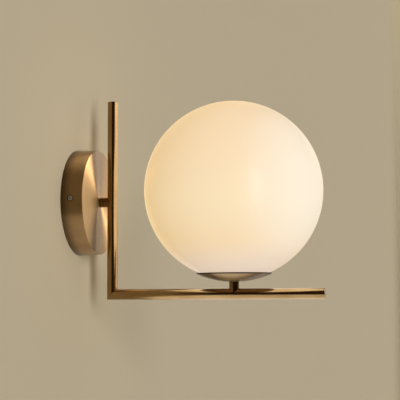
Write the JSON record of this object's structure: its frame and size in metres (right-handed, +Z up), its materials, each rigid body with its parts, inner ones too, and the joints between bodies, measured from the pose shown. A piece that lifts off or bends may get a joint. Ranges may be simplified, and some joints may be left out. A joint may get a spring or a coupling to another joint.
{
  "type": "wall sconce",
  "caption": "Wall sconce: a round canopy holds an L of brass tube, whose level arm carries a dish and a lit opal globe that lifts off for the bulb.",
  "frame": {"origin": "centre of the canopy, on the wall", "axes": "+X points away from the wall, +Z up, and the tubes and the globe lie in the plane Y = 0"},
  "size_m": [0.282, 0.2, 0.229],
  "materials": {
    "brass_satin": "satin",
    "brass_spun": "circular brushed",
    "brass_plain": "turned",
    "zinc_steel": "zinc plated",
    "spring_steel": "plain",
    "cap_nickel": "nickel plated",
    "opal_glass": "glossy opal",
    "bulb_opal": "matt opal",
    "porcelain": "glazed",
    "black_glaze": "glazed",
    "white_plastic": "smooth",
    "silicone": "matt",
    "live_insulation": "smooth",
    "neutral_insulation": "smooth",
    "earth_insulation": "smooth",
    "board_white": "solder mask",
    "board_green": "solder mask"
  },
  "bodies": {
    "frame": {"wall_bracket": "zinc_steel", "earth_screw": "brass_plain", "earth_washer": "zinc_steel", "earth_tag": "zinc_steel", "earth_lead": "earth_insulation", "terminal_block": "white_plastic", "terminal_inserts": "brass_plain", "terminal_screws": "zinc_steel", "block_screw": "zinc_steel", "canopy": "brass_spun", "canopy_screws": "zinc_steel", "canopy_nipple": "brass_plain", "canopy_washer": "zinc_steel", "canopy_nut": "brass_plain", "standoff": "brass_satin", "upright_tube": "brass_satin", "upright_cap": "brass_satin", "level_tube": "brass_satin", "level_cap": "brass_satin", "stem": "brass_satin", "stem_nipple": "brass_plain", "dish": "brass_satin", "dish_washer": "zinc_steel", "dish_nut": "brass_plain", "gasket": "silicone", "gallery_plate": "zinc_steel", "gallery_springs": "spring_steel", "gallery_rivets": "zinc_steel", "holder_base": "porcelain", "holder_body": "porcelain", "holder_sleeve": "brass_plain", "holder_contact": "brass_plain", "holder_terminals": "brass_plain", "holder_terminal_screws": "zinc_steel", "live_lead": "live_insulation", "neutral_lead": "neutral_insulation"},
    "globe": {"globe": "opal_glass"},
    "bulb": {"bulb_envelope": "bulb_opal", "bulb_housing": "white_plastic", "bulb_cap": "cap_nickel", "bulb_insulator": "black_glaze", "bulb_contact": "cap_nickel", "bulb_led_board": "board_white", "bulb_driver_board": "board_green"}
  },
  "joints": [
    {"name": "globe_lift", "type": "slide", "parent": "frame", "child": "globe", "axis": [0, 0, 1], "range_m": [0, 0.14]},
    {"name": "bulb_pull", "type": "slide", "parent": "frame", "child": "bulb", "axis": [0, 0, 1], "range_m": [0, 0.03]}
  ]
}
